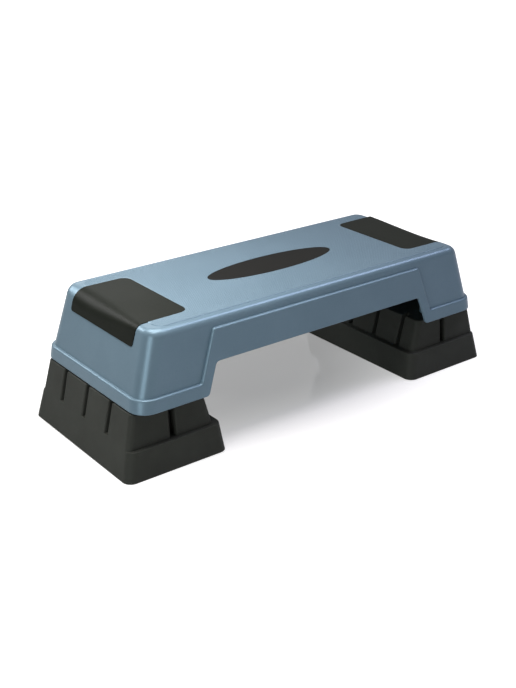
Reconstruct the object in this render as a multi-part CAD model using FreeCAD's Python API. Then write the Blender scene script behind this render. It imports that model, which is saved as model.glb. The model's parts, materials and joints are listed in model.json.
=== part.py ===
import FreeCAD, Part
import math
import os

from FreeCAD import Vector

# An aerobic step: a hollow moulded deck with two legs, standing on two loose risers.
# Millimetres. +Z is up, +X runs along the step, -Y is the front, the origin is on the floor at the middle.

# Deck: outline at the lower rim, height, leans and edges
rim_length = 635.0
rim_width = 261.3
deck_height = 108.0
deck_end_lean = math.radians(16.0)
deck_side_lean = math.radians(5.5)
deck_wall = 4.0
deck_corner = 22.0
end_roll = 20.0
side_roll = 11.0

# Deck: the proud band along the lower edge
band_height = 20.0
band_step = 4.5
band_end_lean = math.radians(8.0)
band_strip = 17.5
band_drop = 16.0
band_corner = 4.0
band_edge = 3.2

# Deck: the arch between the legs
leg_length = 111.6
leg_lean = math.radians(19.4)
arch_rise = 45.0
arch_corner = 7.0
leg_toe_corner = 6.0
rim_edge = 1.5

# Deck: the raised tread field on the top
tread_rise = 0.8
tread_edge = 0.6
tread_end_margin = 17.0
tread_side_margin = 10.6
tread_corner = 16.0

# Deck: ribs under the top
rib = 3.0
rib_pitch = 63.0
rib_depth = 28.0
cross_rib_count = 9
long_rib_count = 4
rib_setback = 1.0

# Grip pads over the two ends
pad_thickness = 2.0
pad_reach = 82.5
pad_margin = 48.6
pad_side_lean = math.radians(1.2)
pad_drop = 29.5
pad_drop_lean = math.radians(1.2)
pad_inner_corner = 14.0
pad_lower_corner = 4.0

# Oval badge in the middle of the top
badge_length = 227.0
badge_width = 62.0
badge_thickness = 1.6

# Risers: skirt, ledge and upper tier
riser_height = 91.0
riser_length = 163.5
riser_wall = 3.5
riser_proud = 1.5
riser_side_proud = 1.45
riser_end_lean = math.radians(13.0)
skirt_height = 42.6
skirt_lean = math.radians(8.0)
ledge_side = 6.5
ledge_inner = 9.5
tier_side_lean = math.radians(5.5)
tier_inner_lean = math.radians(13.6)
tier_outer_corner = 8.5
tier_inner_corner = 10.0
tier_edge = 2.0
skirt_edge = 1.5

# Risers: the upright slots in the tier
slot_width = 7.5
side_slot_width = 10.0
slot_depth = 14.0
end_slot_pitch_share = 0.2328
end_slot_count = 3
end_slot_lift = 3.0
inner_slot_pitch_share = 0.2082
inner_slot_count = 4

# Risers: the pockets that the deck's feet stand in, and the ribs inside
pocket_depth = 4.0
rim_gap = 1.0
riser_rib_pitch = 52.0

# Push-in rubber feet, alike under the deck and the risers
foot_radius = 8.0
foot_proud = 1.0
foot_seat = 1.5
foot_edge = 0.6
stem_radius = 3.5
stem_length = 8.0
post_wall = 2.2
deck_foot_spacing = 40.0
deck_foot_inset = 36.0
riser_foot_inset = 13.0

# Clearances and the overrun of cuts
fit_clearance = 0.3
loose_clearance = 1.0
overrun = 5.0
same_place = 0.001

# Levels and places that follow from the sizes above
rim_level = riser_height + rim_gap
top_level = rim_level + deck_height
body_level = top_level - tread_rise
band_level = rim_level + band_height
arch_level = rim_level + arch_rise
bridge_band_level = top_level - band_drop
pocket_level = riser_height - pocket_depth
riser_width = rim_width + 2 * riser_side_proud
end_slot_pitch = riser_width * end_slot_pitch_share
inner_slot_pitch = riser_width * inner_slot_pitch_share
deck_foot_span = rim_width - 2 * deck_foot_inset
pad_width = rim_width - 2 * pad_margin
half_rim = rim_length / 2
leg_middle = half_rim - leg_length / 2
riser_top_end = half_rim + riser_proud
riser_floor_end = riser_top_end + riser_height * math.tan(riser_end_lean)
riser_corner = tier_outer_corner + ledge_side - loose_clearance
riser_middle = riser_floor_end - riser_length / 2
post_radius = foot_radius + fit_clearance + post_wall
pocket_radius = foot_radius + loose_clearance
reach = riser_floor_end + overrun
breadth = max(rim_width, riser_width) / 2 + overrun

ALONG = Vector(1, 0, 0)
ACROSS = Vector(0, 1, 0)
UP = Vector(0, 0, 1)
ORIGIN = Vector(0, 0, 0)


# Flat outlines and the solids made from them

def seen_from_above(height):
    """Places flat (x, y) points at one height."""
    return lambda x, y: Vector(x, y, height)


def seen_from_front(y):
    """Places flat (x, z) points on one upright lengthwise plane."""
    return lambda x, z: Vector(x, y, z)


def seen_from_end(x):
    """Places flat (y, z) points on one upright crosswise plane."""
    return lambda y, z: Vector(x, y, z)


def rounded_wire(corners, place):
    """A closed wire through flat corners (u, v, radius), with every corner rounded by its radius."""
    count = len(corners)
    bends = []
    for index in range(count):
        u, v, radius = corners[index]
        here = Vector(u, v, 0)
        before = Vector(*corners[index - 1][:2], 0)
        after = Vector(*corners[(index + 1) % count][:2], 0)
        back = (before - here).normalize()
        ahead = (after - here).normalize()
        half_angle = back.getAngle(ahead) / 2
        run = radius / math.tan(half_angle)
        middle = here + (back + ahead).normalize() * (radius / math.sin(half_angle) - radius)
        bends.append((here + back * run, middle, here + ahead * run, radius))
    edges = []
    for index in range(count):
        start, middle, end, radius = bends[index]
        if radius > 0:
            edges.append(Part.Arc(place(*start[:2]), place(*middle[:2]), place(*end[:2])).toShape())
        following = bends[(index + 1) % count][0]
        edges.append(Part.LineSegment(place(*end[:2]), place(*following[:2])).toShape())
    return Part.Wire(edges)


def slab(corners, place, direction):
    """A flat rounded outline drawn out into a solid."""
    return Part.Face(rounded_wire(corners, place)).extrude(direction)


def tapered(outline_at, low, high):
    """A block with flat leaning sides and rounded upright corners, centred across the step.

    outline_at gives, for a height, the two ends, half the width and the corner radius at each end.
    """
    start, end, half_width, start_corner, end_corner = outline_at(low)
    top_start, top_end, top_half_width = outline_at(high)[:3]
    block = Part.makeWedge(start, 0, -half_width, -top_half_width, top_start,
                           end, high - low, half_width, top_half_width, top_end)
    block.rotate(ORIGIN, ALONG, 90)
    block.translate(UP * low)
    upright = [edge for edge in block.Edges if edge.BoundBox.ZLength > (high - low) / 2]
    upright.sort(key=lambda edge: edge.CenterOfMass.x)
    if start_corner > 0:
        block = block.makeFillet(start_corner, upright[:2])
        upright = [edge for edge in block.Edges if any(edge.CenterOfMass.isEqual(old.CenterOfMass, same_place)
                                                       for old in upright[2:])]
    if end_corner > 0:
        block = block.makeFillet(end_corner, upright[-2:])
    return block


def box(low, high):
    """An upright box between two opposite corners."""
    size = high - low
    return Part.makeBox(size.x, size.y, size.z, low)


def edges_at_level(solid, level):
    """The edges of a solid that lie wholly at one height."""
    found = []
    for edge in solid.Edges:
        bounds = edge.BoundBox
        if abs(bounds.ZMin - level) < same_place and abs(bounds.ZMax - level) < same_place:
            found.append(edge)
    return found


def places(count, pitch):
    """Evenly spaced places, centred on zero."""
    return [(index - (count - 1) / 2) * pitch for index in range(count)]


def turned(solid):
    """A copy of a solid turned half round the upright axis, to the other end of the step."""
    copy = solid.copy()
    copy.rotate(ORIGIN, UP, 180)
    return copy


# Deck

def deck_outline(height, inset):
    """The deck's plain body at one height, all its faces moved in by an inset."""
    rise = height - band_level
    half_length = half_rim - band_height * math.tan(band_end_lean) - band_step
    half_length -= rise * math.tan(deck_end_lean) + inset / math.cos(deck_end_lean)
    half_width = rim_width / 2 - band_height * math.tan(deck_side_lean) - band_step
    half_width -= rise * math.tan(deck_side_lean) + inset / math.cos(deck_side_lean)
    corner = deck_corner - inset
    return -half_length, half_length, half_width, corner, corner


def roll_top_edge(solid, level, end_radius, side_radius):
    """Rounds the top edge, broad over the two ends, tighter along the sides and blended at the corners."""
    drawing = FreeCAD.newDocument()
    plain = drawing.addObject("Part::Feature", "plain")
    plain.Shape = solid
    rolled = drawing.addObject("Part::Fillet", "rolled")
    rolled.Base = plain
    rim = edges_at_level(solid, level)
    far_end = max(edge.BoundBox.XMax for edge in rim)
    radii = []
    for number, edge in enumerate(solid.Edges, start=1):
        if not any(edge.isSame(other) for other in rim):
            continue
        ends = [edge.valueAt(edge.FirstParameter), edge.valueAt(edge.LastParameter)]
        sizes = [end_radius if far_end - abs(point.x) < same_place else side_radius for point in ends]
        radii.append((number, sizes[0], sizes[1]))
    rolled.Edges = radii
    drawing.recompute()
    result = rolled.Shape.copy()
    FreeCAD.closeDocument(drawing.Name)
    return result


def deck_form(inset):
    """The deck's plain body with its rolled top edge, all its faces moved in by an inset."""
    plain = tapered(lambda height: deck_outline(height, inset), rim_level - overrun, body_level - inset)
    return roll_top_edge(plain, body_level - inset, end_roll - inset, side_roll - inset)


def leg_inner_edge(height):
    """Distance from the middle of the step to a leg's inner face, at one height."""
    return half_rim - leg_length - (height - rim_level) * math.tan(leg_lean)


def band_profile(inset):
    """The band seen from the front: low along the legs, high along the bridge, both moved in by an inset."""
    low = band_level - inset
    high = bridge_band_level - inset
    leg_step = leg_inner_edge(low) + band_strip - inset
    bridge_step = leg_inner_edge(high) + band_strip - inset
    return [
        (-reach, rim_level - overrun, 0),
        (reach, rim_level - overrun, 0),
        (reach, low, 0),
        (leg_step, low, band_corner),
        (bridge_step, high, band_corner),
        (-bridge_step, high, band_corner),
        (-leg_step, low, band_corner),
        (-reach, low, 0),
    ]


def band_outline(height, inset):
    """The outline of the proud band at one height, moved in by an inset."""
    rise = height - rim_level
    half_length = half_rim - rise * math.tan(band_end_lean) - inset / math.cos(band_end_lean)
    half_width = rim_width / 2 - rise * math.tan(deck_side_lean) - inset / math.cos(deck_side_lean)
    corner = deck_corner + band_step - inset
    return -half_length, half_length, half_width, corner, corner


def band_form(inset):
    """The proud band as a solid that fills the deck's whole width."""
    full = tapered(lambda height: band_outline(height, inset), rim_level - overrun, top_level)
    return full.common(slab(band_profile(inset), seen_from_front(-breadth), ACROSS * (2 * breadth)))


def arch_cut():
    """Everything below the rim and under the arch."""
    low = leg_inner_edge(rim_level)
    high = leg_inner_edge(arch_level)
    profile = [
        (-reach, rim_level - 2 * overrun, 0),
        (reach, rim_level - 2 * overrun, 0),
        (reach, rim_level, 0),
        (low, rim_level, leg_toe_corner),
        (high, arch_level, arch_corner),
        (-high, arch_level, arch_corner),
        (-low, rim_level, leg_toe_corner),
        (-reach, rim_level, 0),
    ]
    return slab(profile, seen_from_front(-breadth), ACROSS * (2 * breadth))


def rib_along(y, low):
    """A rib along the step, from one height up into the top."""
    return box(Vector(-reach, y - rib / 2, low), Vector(reach, y + rib / 2, top_level))


def rib_across(x, low):
    """A rib across the step, from one height up into the top."""
    return box(Vector(x - rib / 2, -breadth, low), Vector(x + rib / 2, breadth, top_level))


def deck_ribs():
    """A grid of ribs under the top."""
    low = body_level - deck_wall - rib_depth
    along = [rib_along(y, low) for y in places(long_rib_count, rib_pitch)]
    return along + [rib_across(x, low) for x in places(cross_rib_count, rib_pitch)]


def deck_foot_places():
    """Centres of the four feet of one leg, on the -X side."""
    return [
        (x - leg_middle, y)
        for x in places(2, deck_foot_spacing)
        for y in places(2, deck_foot_span)
    ]


def deck_hollow():
    """The space inside the deck, open below, with the ribs and foot posts left standing."""
    inside = deck_form(deck_wall).fuse(band_form(deck_wall))
    posts = [post(x, y, rim_level, top_level) for x, y in deck_foot_places()]
    posts += [turned(solid) for solid in posts]
    return inside.cut(deck_ribs() + posts)


def tread_field():
    """The raised field that carries the tread."""
    end, half_width = deck_outline(body_level, 0)[1:3]
    end -= tread_end_margin
    half_width -= tread_side_margin
    corners = [
        (-end, -half_width, tread_corner),
        (end, -half_width, tread_corner),
        (end, half_width, tread_corner),
        (-end, half_width, tread_corner),
    ]
    low = body_level - deck_wall / 2
    field = slab(corners, seen_from_above(low), UP * (top_level - low))
    return field.makeChamfer(tread_edge, edges_at_level(field, top_level))


def pad_zone(margin):
    """The place of the -X grip pad, grown by a margin: its outline from above cut by its outline from the end."""
    edge = half_rim - band_height * math.tan(band_end_lean) - band_step
    edge -= (deck_height - band_height) * math.tan(deck_end_lean)
    inner = -edge + pad_reach + margin
    half_edge = pad_width / 2 + margin
    half_inner = half_edge - (pad_reach + margin) * math.tan(pad_side_lean)
    half_outer = half_edge + (reach - edge) * math.tan(pad_side_lean)
    plan = [
        (-reach, -half_outer, 0),
        (inner, -half_inner, pad_inner_corner + margin),
        (inner, half_inner, pad_inner_corner + margin),
        (-reach, half_outer, 0),
    ]
    low = top_level - pad_drop - margin
    half_low = half_edge - (pad_drop + margin) * math.tan(pad_drop_lean)
    half_high = half_edge + overrun * math.tan(pad_drop_lean)
    drop = [
        (-half_low, low, pad_lower_corner + margin),
        (half_low, low, pad_lower_corner + margin),
        (half_high, top_level + overrun, 0),
        (-half_high, top_level + overrun, 0),
    ]
    from_above = slab(plan, seen_from_above(rim_level), UP * (deck_height + overrun))
    from_end = slab(drop, seen_from_end(-reach), ALONG * reach)
    return from_above.common(from_end)


def grip_pad():
    """The -X pad: a skin of even thickness, bent over the deck's rolled end, level with the tread."""
    skin = deck_form(-tread_rise).cut(deck_form(pad_thickness - tread_rise))
    return skin.common(pad_zone(0))


def pad_recess():
    """What the deck loses to seat the -X pad."""
    return pad_zone(fit_clearance).cut(deck_form(pad_thickness - tread_rise + fit_clearance))


def oval(length, width, low, high):
    """An upright oval plate."""
    ring = Part.Ellipse(Vector(0, 0, low), length / 2, width / 2).toShape()
    return Part.Face(Part.Wire(ring)).extrude(UP * (high - low))


def badge():
    """The bare oval plate, flush with the top."""
    return oval(badge_length, badge_width, top_level - badge_thickness, top_level)


def badge_recess():
    """The seat of the badge."""
    margin = 2 * fit_clearance
    return oval(badge_length + margin, badge_width + margin, top_level - badge_thickness, top_level + overrun)


def soften_band(solid):
    """Rounds the upper edge of the band, all round the deck."""
    upper = []
    for edge in solid.Edges:
        middle = edge.CenterOfMass
        joins_two_sides = abs(middle.y) < same_place and abs(middle.x) < leg_middle
        if edge.BoundBox.ZMin > band_level - same_place and not joins_two_sides:
            upper.append(edge)
    return solid.makeFillet(band_edge, upper)


def soften_rim(solid, cut):
    """Rounds the outer edge that a cut has left along the rim and the arch."""
    surface = cut.Shells[0]
    outer = []
    for edge in solid.Edges:
        middle = edge.valueAt((edge.FirstParameter + edge.LastParameter) / 2)
        runs_across = abs(middle.y) < same_place and abs(middle.x) < leg_middle
        if not runs_across and surface.distToShape(Part.Vertex(middle))[0] < same_place:
            outer.append(edge)
    return solid.makeFillet(rim_edge, outer)


def deck():
    """The whole deck moulding."""
    below = arch_cut()
    outside = deck_form(0).fuse([soften_band(band_form(0)), tread_field()]).cut(below)
    outside = soften_rim(outside, below)
    recess = pad_recess()
    sockets = [foot_socket(x, y, rim_level) for x, y in deck_foot_places()]
    sockets += [turned(solid) for solid in sockets]
    return outside.cut([deck_hollow(), recess, turned(recess), badge_recess()] + sockets)


# Push-in feet

def post(x, y, low, high):
    """The round post that a foot pushes into."""
    return Part.makeCylinder(post_radius, high - low, Vector(x, y, low))


def foot(x, y, floor, face):
    """A rubber foot: a disc that reaches from the floor into its seat in a downward face, with a stem above it."""
    seat = face + foot_seat
    disc = Part.makeCylinder(foot_radius, seat - floor, Vector(x, y, floor))
    disc = disc.makeChamfer(foot_edge, edges_at_level(disc, floor))
    stem = Part.makeCylinder(stem_radius, stem_length, Vector(x, y, seat))
    stem = stem.makeChamfer(foot_edge, edges_at_level(stem, seat + stem_length))
    return disc.fuse(stem).removeSplitter()


def foot_socket(x, y, face):
    """The seat of a foot in a downward face."""
    seat = Part.makeCylinder(foot_radius + fit_clearance, foot_seat + overrun, Vector(x, y, face - overrun))
    depth = foot_seat + stem_length + fit_clearance
    hole = Part.makeCylinder(stem_radius + fit_clearance, depth + overrun, Vector(x, y, face - overrun))
    return seat.fuse(hole)


# Riser, on the -X side

def riser_outer_end(height):
    """Distance from the middle of the step to the riser's outer end, one plane from floor to top."""
    return riser_floor_end - height * math.tan(riser_end_lean)


def skirt_inner_end(height):
    """Distance from the middle of the step to the skirt's inner end."""
    return riser_floor_end - riser_length + height * math.tan(skirt_lean)


def skirt_half_width(height):
    """Half the skirt's width at one height."""
    return riser_width / 2 - height * math.tan(skirt_lean)


def tier_inner_end(height):
    """Distance from the middle of the step to the tier's inner end."""
    rise = height - skirt_height
    return skirt_inner_end(skirt_height) + ledge_inner + rise * math.tan(tier_inner_lean)


def tier_half_width(height):
    """Half the tier's width at one height."""
    rise = height - skirt_height
    return skirt_half_width(skirt_height) - ledge_side - rise * math.tan(tier_side_lean)


def skirt_outline(height, inset):
    """The skirt's outline at one height, moved in by an inset."""
    outer = riser_outer_end(height) - inset / math.cos(riser_end_lean)
    inner = skirt_inner_end(height) + inset / math.cos(skirt_lean)
    half_width = skirt_half_width(height) - inset / math.cos(skirt_lean)
    return -outer, -inner, half_width, riser_corner - inset, riser_corner - inset


def tier_outline(height, inset):
    """The tier's outline at one height, moved in by an inset."""
    outer = riser_outer_end(height) - inset / math.cos(riser_end_lean)
    inner = tier_inner_end(height) + inset / math.cos(tier_inner_lean)
    half_width = tier_half_width(height) - inset / math.cos(tier_side_lean)
    return -outer, -inner, half_width, max(tier_outer_corner - inset, 0), tier_inner_corner - inset


def slot(outward, along, offset, wide, face_at, low, margin):
    """An upright slot in a leaning face; face_at gives the face's distance outward at each height."""
    high = riser_height + overrun
    low -= margin
    depth = slot_depth + margin
    width = wide + 2 * margin
    start = along * (offset - width / 2)
    corners = [
        outward * (face_at(low) + overrun) + UP * low,
        outward * (face_at(low) - depth) + UP * low,
        outward * (face_at(high) - depth) + UP * high,
        outward * (face_at(high) + overrun) + UP * high,
    ]
    points = [corner + start for corner in corners]
    return Part.Face(Part.makePolygon(points + points[:1])).extrude(along * width)


def slot_places():
    """Every slot of the riser: the way it faces, the way it is wide, its offset, width, face and lowest level."""
    found = []
    for y in places(end_slot_count, end_slot_pitch):
        found.append((-ALONG, ACROSS, y, slot_width, riser_outer_end, skirt_height + end_slot_lift))
    for y in places(inner_slot_count, inner_slot_pitch):
        found.append((ALONG, ACROSS, y, slot_width, lambda height: -tier_inner_end(height), skirt_height))
    for outward in (-ACROSS, ACROSS):
        found.append((outward, ALONG, -riser_middle, side_slot_width, tier_half_width, skirt_height))
    return found


def riser_slots(margin):
    """All the slots of the riser, grown by a margin."""
    return [slot(*place, margin) for place in slot_places()]


def soften_tier(solid):
    """Rounds the tier's top edges and the upright edges of its slots."""
    height = (skirt_height + riser_height) / 2
    edges = edges_at_level(solid, riser_height)
    for outward, along, offset, wide, face_at, low in slot_places():
        for side in places(2, wide):
            mouth = Part.Vertex(outward * face_at(height) + along * (offset + side) + UP * height)
            edges += [edge for edge in solid.Edges if edge.distToShape(mouth)[0] < same_place]
    return solid.makeFillet(tier_edge, edges)


def riser_foot_places():
    """Centres of the four feet under the riser."""
    outer = -(riser_outer_end(foot_proud) - riser_foot_inset)
    inner = -(skirt_inner_end(foot_proud) + riser_foot_inset)
    half_span = skirt_half_width(foot_proud) - riser_foot_inset
    return [(x, y) for x in (outer, inner) for y in (-half_span, half_span)]


def pocket(x, y, margin):
    """The round pocket in the riser's top that a foot of the deck stands in, grown by a margin."""
    low = pocket_level - margin
    return Part.makeCylinder(pocket_radius + margin, riser_height + overrun - low, Vector(x, y, low))


def riser_hollow():
    """The space inside the riser, open below, with slot walls, ribs and foot posts left standing."""
    floor = foot_proud - overrun
    skirt = tapered(lambda height: skirt_outline(height, riser_wall), floor, skirt_height - riser_wall)
    tier = tapered(lambda height: tier_outline(height, riser_wall), floor, riser_height - riser_wall)
    low = foot_proud + rib_setback
    ribs = [rib_along(y, low) for y in places(end_slot_count, end_slot_pitch)]
    ribs += [rib_across(x - riser_middle, low) for x in places(2, riser_rib_pitch)]
    posts = [post(x, y, floor, skirt_height) for x, y in riser_foot_places()]
    cups = [pocket(x, y, riser_wall) for x, y in deck_foot_places()]
    return skirt.fuse(tier).cut(riser_slots(riser_wall) + ribs + posts + cups)


def riser():
    """The whole riser moulding."""
    skirt = tapered(lambda height: skirt_outline(height, 0), foot_proud, skirt_height)
    tier = tapered(lambda height: tier_outline(height, 0), foot_proud, riser_height)
    skirt = skirt.makeFillet(skirt_edge, edges_at_level(skirt, skirt_height))
    tier = soften_tier(tier.cut(riser_slots(0)))
    sockets = [foot_socket(x, y, foot_proud) for x, y in riser_foot_places()]
    pockets = [pocket(x, y, 0) for x, y in deck_foot_places()]
    return skirt.fuse(tier).cut([riser_hollow()] + sockets + pockets)


# The pieces

def pieces():
    """Every piece by its name."""
    left_riser = riser()
    left_pad = grip_pad()
    made = {
        "platform_deck": deck(),
        "grip_pad_left": left_pad,
        "grip_pad_right": turned(left_pad),
        "oval_badge": badge(),
        "riser_left": left_riser,
        "riser_right": turned(left_riser),
    }
    for number, (x, y) in enumerate(riser_foot_places(), start=1):
        made[f"riser_left_foot_{number}"] = foot(x, y, 0, foot_proud)
        made[f"riser_right_foot_{number}"] = foot(-x, y, 0, foot_proud)
    for number, (x, y) in enumerate(deck_foot_places(), start=1):
        made[f"deck_foot_left_{number}"] = foot(x, y, pocket_level, rim_level)
        made[f"deck_foot_right_{number}"] = foot(-x, y, pocket_level, rim_level)
    return made


os.makedirs("parts", exist_ok=True)
for name, shape in pieces().items():
    solid, = shape.Solids
    solid.exportStep(f"parts/{name}.step")
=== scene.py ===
import bpy
import json
import math
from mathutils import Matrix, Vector


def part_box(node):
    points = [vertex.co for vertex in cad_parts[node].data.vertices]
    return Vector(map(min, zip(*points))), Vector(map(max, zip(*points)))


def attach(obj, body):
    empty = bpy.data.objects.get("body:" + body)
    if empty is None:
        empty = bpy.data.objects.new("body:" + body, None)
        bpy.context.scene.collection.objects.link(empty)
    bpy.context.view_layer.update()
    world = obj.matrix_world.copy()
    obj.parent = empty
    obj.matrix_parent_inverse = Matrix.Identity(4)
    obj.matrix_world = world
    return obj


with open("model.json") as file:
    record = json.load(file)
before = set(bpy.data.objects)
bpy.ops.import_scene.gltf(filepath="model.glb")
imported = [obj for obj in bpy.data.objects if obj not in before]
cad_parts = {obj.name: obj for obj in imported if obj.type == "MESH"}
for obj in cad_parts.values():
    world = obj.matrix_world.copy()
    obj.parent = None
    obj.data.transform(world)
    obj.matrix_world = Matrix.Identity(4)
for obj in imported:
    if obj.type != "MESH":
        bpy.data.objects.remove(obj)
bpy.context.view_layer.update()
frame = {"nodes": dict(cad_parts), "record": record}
nodes = frame["nodes"]
scene = bpy.context.scene

WHITE = (1.0, 1.0, 1.0)


# Node helpers

NOISE_ROUGHNESS = 0.6
NOISE_LIMITS = (0.3, 0.7)


def new_material(name):
    """An empty node material with its shader and output joined."""
    material = bpy.data.materials.new(name)
    material.use_nodes = True
    tree = material.node_tree
    tree.nodes.clear()
    shader = tree.nodes.new("ShaderNodeBsdfPrincipled")
    output = tree.nodes.new("ShaderNodeOutputMaterial")
    tree.links.new(shader.outputs["BSDF"], output.inputs["Surface"])
    return material, tree, shader


def calculate(tree, kind, operation, *values):
    """A math or vector math node. Each value is another node's output or a constant."""
    node = tree.nodes.new(kind)
    node.operation = operation
    for socket, value in zip(node.inputs, values):
        if isinstance(value, bpy.types.NodeSocket):
            tree.links.new(value, socket)
        else:
            socket.default_value = value
    return node


def remap(tree, value, old_limits, new_limits, interpolation="LINEAR"):
    """A value carried from one pair of limits to another, and held at the limits."""
    node = tree.nodes.new("ShaderNodeMapRange")
    node.interpolation_type = interpolation
    limits = (*old_limits, *new_limits)
    for socket, limit in zip(("From Min", "From Max", "To Min", "To Max"), limits):
        node.inputs[socket].default_value = limit
    tree.links.new(value, node.inputs["Value"])
    return node.outputs["Result"]


def noise(tree, place, scale, detail):
    """A noise texture, its scale in cells per metre."""
    node = tree.nodes.new("ShaderNodeTexNoise")
    node.inputs["Scale"].default_value = scale
    node.inputs["Detail"].default_value = detail
    node.inputs["Roughness"].default_value = NOISE_ROUGHNESS
    tree.links.new(place, node.inputs["Vector"])
    return node.outputs["Fac"]


def ramp(tree, value, colours):
    """Two colours blended over the part of a noise's range that it mostly keeps to."""
    node = tree.nodes.new("ShaderNodeValToRGB")
    for element, position, colour in zip(node.color_ramp.elements, NOISE_LIMITS, colours):
        element.position = position
        element.color = (*colour, 1.0)
    tree.links.new(value, node.inputs["Fac"])
    return node.outputs["Color"]


# Materials of the part: grain scales in cells per metre, grain depths in metres

CLOUD_SCALE = 16.0
CLOUD_DETAIL = 5.0
GRAIN_DETAIL = 3.0
GRAIN_STRENGTH = 0.35
SMOOTHER_BY = 0.04
ROUGHER_BY = 0.05


def moulded(name, dark, light, roughness, grain_scale, grain_depth, metallic, specular):
    """Moulded plastic or rubber: cloudy colour, uneven gloss and a fine grain."""
    material, tree, shader = new_material(name)
    place = tree.nodes.new("ShaderNodeTexCoord").outputs["Object"]
    cloud = noise(tree, place, CLOUD_SCALE, CLOUD_DETAIL)
    grain = noise(tree, place, grain_scale, GRAIN_DETAIL)
    tree.links.new(ramp(tree, cloud, (dark, light)), shader.inputs["Base Color"])
    uneven = remap(tree, grain, NOISE_LIMITS, (roughness - SMOOTHER_BY, roughness + ROUGHER_BY))
    tree.links.new(uneven, shader.inputs["Roughness"])
    shader.inputs["Metallic"].default_value = metallic
    shader.inputs["Specular IOR Level"].default_value = specular
    bump = tree.nodes.new("ShaderNodeBump")
    bump.inputs["Strength"].default_value = GRAIN_STRENGTH
    bump.inputs["Distance"].default_value = grain_depth
    tree.links.new(grain, bump.inputs["Height"])
    tree.links.new(bump.outputs["Normal"], shader.inputs["Normal"])
    return material


deck_plastic = moulded(
    "deck_plastic",
    dark=(0.150, 0.234, 0.300),
    light=(0.164, 0.252, 0.322),
    roughness=0.30,
    grain_scale=1500.0,
    grain_depth=0.00006,
    metallic=0.25,
    specular=0.2,
)
pad_rubber = moulded(
    "pad_rubber",
    dark=(0.006, 0.008, 0.005),
    light=(0.009, 0.011, 0.008),
    roughness=0.40,
    grain_scale=1900.0,
    grain_depth=0.00005,
    metallic=0.0,
    specular=0.08,
)
badge_plastic = moulded(
    "badge_plastic",
    dark=(0.009, 0.009, 0.008),
    light=(0.012, 0.012, 0.011),
    roughness=0.36,
    grain_scale=1900.0,
    grain_depth=0.00003,
    metallic=0.0,
    specular=0.05,
)
riser_plastic = moulded(
    "riser_plastic",
    dark=(0.037, 0.040, 0.035),
    light=(0.047, 0.051, 0.045),
    roughness=0.52,
    grain_scale=1300.0,
    grain_depth=0.00008,
    metallic=0.0,
    specular=0.12,
)
foot_rubber = moulded(
    "foot_rubber",
    dark=(0.020, 0.020, 0.020),
    light=(0.028, 0.028, 0.028),
    roughness=0.7,
    grain_scale=1100.0,
    grain_depth=0.0001,
    metallic=0.0,
    specular=0.2,
)

paint = {
    "deck_plastic": deck_plastic,
    "pad_rubber": pad_rubber,
    "badge_plastic": badge_plastic,
    "riser_plastic": riser_plastic,
    "foot_rubber": foot_rubber,
}
for entry in frame["record"]["subparts"]:
    mesh = nodes[entry["node"]].data
    mesh.materials.clear()
    mesh.materials.append(paint[entry["material_slot"]])


# Tread: small pyramids in staggered rows over the flat of the top, in metres

TREAD_PITCH = 0.0035
TREAD_HEIGHT = 0.00026
PYRAMID_SHARE = 0.46
PYRAMID_HALF = TREAD_PITCH * PYRAMID_SHARE
ROW_SPACING = TREAD_PITCH / 2
TREAD_HALF_LENGTH = 0.2658
TREAD_HALF_WIDTH = 0.1029
TREAD_CORNER = 0.014
BARE_MARGIN = 0.0022
BARE_PAD_CORNER = 0.012
PAD_WIDEST_AT = 0.285
PAD_SIDE_LEAN = math.radians(1.2)
PAD_LOW, PAD_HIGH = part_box("grip_pad_right")
BADGE_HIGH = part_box("oval_badge")[1]


def on_flat(x, y):
    """True if a point lies in the rounded rectangle that carries the tread."""
    if abs(x) > TREAD_HALF_LENGTH or abs(y) > TREAD_HALF_WIDTH:
        return False
    past_x = max(abs(x) - TREAD_HALF_LENGTH + TREAD_CORNER, 0)
    past_y = max(abs(y) - TREAD_HALF_WIDTH + TREAD_CORNER, 0)
    return math.hypot(past_x, past_y) <= TREAD_CORNER


def on_pad(x, y):
    """True if a point lies on a grip pad, which narrows inwards, or in the bare margin round it."""
    inner = PAD_LOW.x - BARE_MARGIN
    narrowing = max(PAD_WIDEST_AT - abs(x), 0) * math.tan(PAD_SIDE_LEAN)
    half_width = PAD_HIGH.y + BARE_MARGIN - narrowing
    if abs(x) < inner or abs(y) > half_width:
        return False
    past_x = max(inner + BARE_PAD_CORNER - abs(x), 0)
    past_y = max(abs(y) - half_width + BARE_PAD_CORNER, 0)
    return math.hypot(past_x, past_y) <= BARE_PAD_CORNER


def on_badge(x, y):
    """True if a point lies on the oval badge or in the bare margin round it."""
    along = x / (BADGE_HIGH.x + BARE_MARGIN)
    across = y / (BADGE_HIGH.y + BARE_MARGIN)
    return math.hypot(along, across) <= 1


def tread_places():
    """The middles of the pyramids, row by row, every other row half a pitch aside."""
    rows = int(TREAD_HALF_WIDTH / ROW_SPACING) + 1
    columns = int(TREAD_HALF_LENGTH / TREAD_PITCH) + 1
    for row in range(-rows, rows + 1):
        aside = 0.5 * (row % 2)
        for column in range(-columns, columns + 1):
            x = (column + aside) * TREAD_PITCH
            y = row * ROW_SPACING
            if on_flat(x, y) and not on_pad(x, y) and not on_badge(x, y):
                yield x, y


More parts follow.
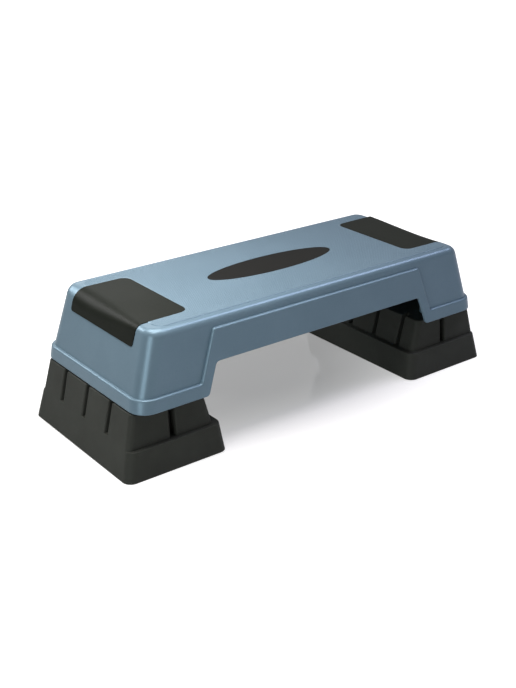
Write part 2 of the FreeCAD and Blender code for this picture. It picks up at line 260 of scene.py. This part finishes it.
def build_tread():
    """One mesh of all the pyramids, which rides on the platform."""
    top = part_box("platform_deck")[1].z
    points = []
    faces = []
    for x, y in tread_places():
        first = len(points)
        tip = first + 4
        points += [
            (x - PYRAMID_HALF, y, top),
            (x, y - PYRAMID_HALF, top),
            (x + PYRAMID_HALF, y, top),
            (x, y + PYRAMID_HALF, top),
            (x, y, top + TREAD_HEIGHT),
        ]
        faces += [(first + side, first + (side + 1) % 4, tip) for side in range(4)]
    mesh = bpy.data.meshes.new("deck_tread")
    mesh.from_pydata(points, [], faces)
    mesh.materials.append(deck_plastic)
    tread = bpy.data.objects.new("deck_tread", mesh)
    scene.collection.objects.link(tread)
    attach(tread, "platform")


build_tread()


# Floor and backdrop: white to the camera, with less of that white in an oval under the object, which is
# painted shade where the real shadow also falls

MIRRORED_SHARE = 0.36
FLOOR_HALF_SIZE = 12.0
FLOOR_GREY = 0.65
FLOOR_ROUGHNESS = 0.08
FLOOR_SPECULAR = 0.8
# The oval is painted shade: the floor glows less there, so it is darker under the object as well as in the
# object's real shadow
SHADE_OVAL_SHIFT = (-0.01, -0.096, 0.0)
SHADE_OVAL_SQUEEZE = (1.75, 2.4, 0.0)
SHADE_OVAL_LIMITS = (0.2, 1.05)
SHADE_OVAL_WHITE = (0.18, 1.0)
WORLD_STRENGTH = (0.06, 1.0)


def seen_directly(tree):
    """1 for rays from the camera or through glass, a share of it for mirrored rays, 0 for all others."""
    path = tree.nodes.new("ShaderNodeLightPath").outputs
    mirrored = calculate(tree, "ShaderNodeMath", "MULTIPLY", path["Is Glossy Ray"], MIRRORED_SHARE)
    value = path["Is Camera Ray"]
    for other in (path["Is Transmission Ray"], mirrored.outputs["Value"]):
        value = calculate(tree, "ShaderNodeMath", "MAXIMUM", value, other).outputs["Value"]
    return value


def floor_white(tree):
    """The white glow that the floor adds for the camera: little in the oval, which is painted shade under
    the object, all of it well outside.
    """
    place = tree.nodes.new("ShaderNodeTexCoord").outputs["Object"]
    shifted = calculate(tree, "ShaderNodeVectorMath", "ADD", place, SHADE_OVAL_SHIFT).outputs["Vector"]
    squeezed = calculate(tree, "ShaderNodeVectorMath", "MULTIPLY", shifted, SHADE_OVAL_SQUEEZE).outputs["Vector"]
    reach = calculate(tree, "ShaderNodeVectorMath", "LENGTH", squeezed).outputs["Value"]
    # Painted shade: the glow falls to its low value inside the oval under the object
    white = remap(tree, reach, SHADE_OVAL_LIMITS, SHADE_OVAL_WHITE, "SMOOTHSTEP")
    return calculate(tree, "ShaderNodeMath", "MULTIPLY", white, seen_directly(tree)).outputs["Value"]


def build_floor():
    """A wide pale glossy floor that keeps the real shadow near the object, darkened there by painted shade
    in the oval, and is plain white beyond.
    """
    size = FLOOR_HALF_SIZE
    corners = [(-size, -size, 0), (size, -size, 0), (size, size, 0), (-size, size, 0)]
    mesh = bpy.data.meshes.new("floor")
    mesh.from_pydata(corners, [], [(0, 1, 2, 3)])
    floor = bpy.data.objects.new("floor", mesh)
    scene.collection.objects.link(floor)
    material, tree, shader = new_material("floor_white")
    shader.inputs["Base Color"].default_value = (FLOOR_GREY, FLOOR_GREY, FLOOR_GREY, 1.0)
    shader.inputs["Roughness"].default_value = FLOOR_ROUGHNESS
    shader.inputs["Specular IOR Level"].default_value = FLOOR_SPECULAR
    shader.inputs["Emission Color"].default_value = (*WHITE, 1.0)
    tree.links.new(floor_white(tree), shader.inputs["Emission Strength"])
    mesh.materials.append(material)


def build_world():
    """White to the camera, a share of that in reflections and weak as light."""
    world = bpy.data.worlds.new("studio")
    world.use_nodes = True
    tree = world.node_tree
    tree.nodes.clear()
    background = tree.nodes.new("ShaderNodeBackground")
    background.inputs["Color"].default_value = (*WHITE, 1.0)
    strength = remap(tree, seen_directly(tree), (0.0, 1.0), WORLD_STRENGTH)
    tree.links.new(strength, background.inputs["Strength"])
    output = tree.nodes.new("ShaderNodeOutputWorld")
    tree.links.new(background.outputs["Background"], output.inputs["Surface"])
    scene.world = world


build_floor()
build_world()


# Lamps and camera: places and sizes in metres, power in watts

CAMERA_AZIMUTH = math.radians(-37.60)
CAMERA_ELEVATION = math.radians(23.90)
CAMERA_DISTANCE = 1.6487
CAMERA_TARGET = Vector((-0.0251, -0.0014, 0.0745))
CAMERA_SENSOR_MM = 36.0
CAMERA_LENS_MM = 56.43


def facing(direction):
    """The turn of a lamp or camera that looks along a direction, its width level."""
    return direction.to_track_quat("-Z", "Y").to_euler()


def softbox(name, place, aim, width, height, power, colour=WHITE):
    """A rectangular lamp turned towards a point."""
    lamp = bpy.data.lights.new(name, "AREA")
    lamp.shape = "RECTANGLE"
    lamp.size = width
    lamp.size_y = height
    lamp.energy = power
    lamp.color = colour
    holder = bpy.data.objects.new(name, lamp)
    holder.location = place
    holder.rotation_euler = facing(Vector(aim) - Vector(place))
    holder.visible_camera = False
    scene.collection.objects.link(holder)


def build_camera():
    """The photograph's viewpoint."""
    level = math.cos(CAMERA_ELEVATION)
    away = Vector((
        math.sin(CAMERA_AZIMUTH) * level,
        -math.cos(CAMERA_AZIMUTH) * level,
        math.sin(CAMERA_ELEVATION),
    ))
    camera = bpy.data.cameras.new("camera")
    camera.sensor_fit = "AUTO"
    camera.sensor_width = CAMERA_SENSOR_MM
    camera.lens = CAMERA_LENS_MM
    holder = bpy.data.objects.new("camera", camera)
    holder.location = CAMERA_TARGET + away * CAMERA_DISTANCE
    holder.rotation_euler = facing(-away)
    scene.collection.objects.link(holder)
    scene.camera = holder


# Close above the near end, for the light patch on the top
softbox(
    "key_softbox",
    place=(-0.25, -0.05, 0.6),
    aim=(-0.25, -0.04, 0.2),
    width=0.4,
    height=0.4,
    power=3.75,
    colour=(1.0, 0.95, 0.9),
)
# Behind the object, for the sheen on its top
softbox(
    "sheen_softbox",
    place=(0.38, 1.58, 0.9),
    aim=(-0.2, 0, 0.2),
    width=0.8,
    height=0.6,
    power=2.2,
)
# Behind and to the left, for the light line on the near pad's bend
softbox(
    "bend_softbox",
    place=(-0.75, 1.45, 1.15),
    aim=(-0.3, 0, 0.19),
    width=0.7,
    height=0.7,
    power=12.0,
)
# High at the right, for the light line on the long front roll
softbox(
    "roll_strip",
    place=(1.0, -0.4, 1.45),
    aim=(1.0, -0.39, 0.2),
    width=1.2,
    height=0.45,
    power=13.0,
    colour=(0.86, 0.82, 1.0),
)
# Low at the left, for the near end face and the rounded near corner
softbox(
    "corner_strip",
    place=(-1.85, -0.95, 0.4),
    aim=(-0.3, -0.12, 0.15),
    width=0.9,
    height=0.8,
    power=8.0,
    colour=(0.95, 1.0, 0.99),
)
build_camera()
scene.view_settings.view_transform = "Standard"
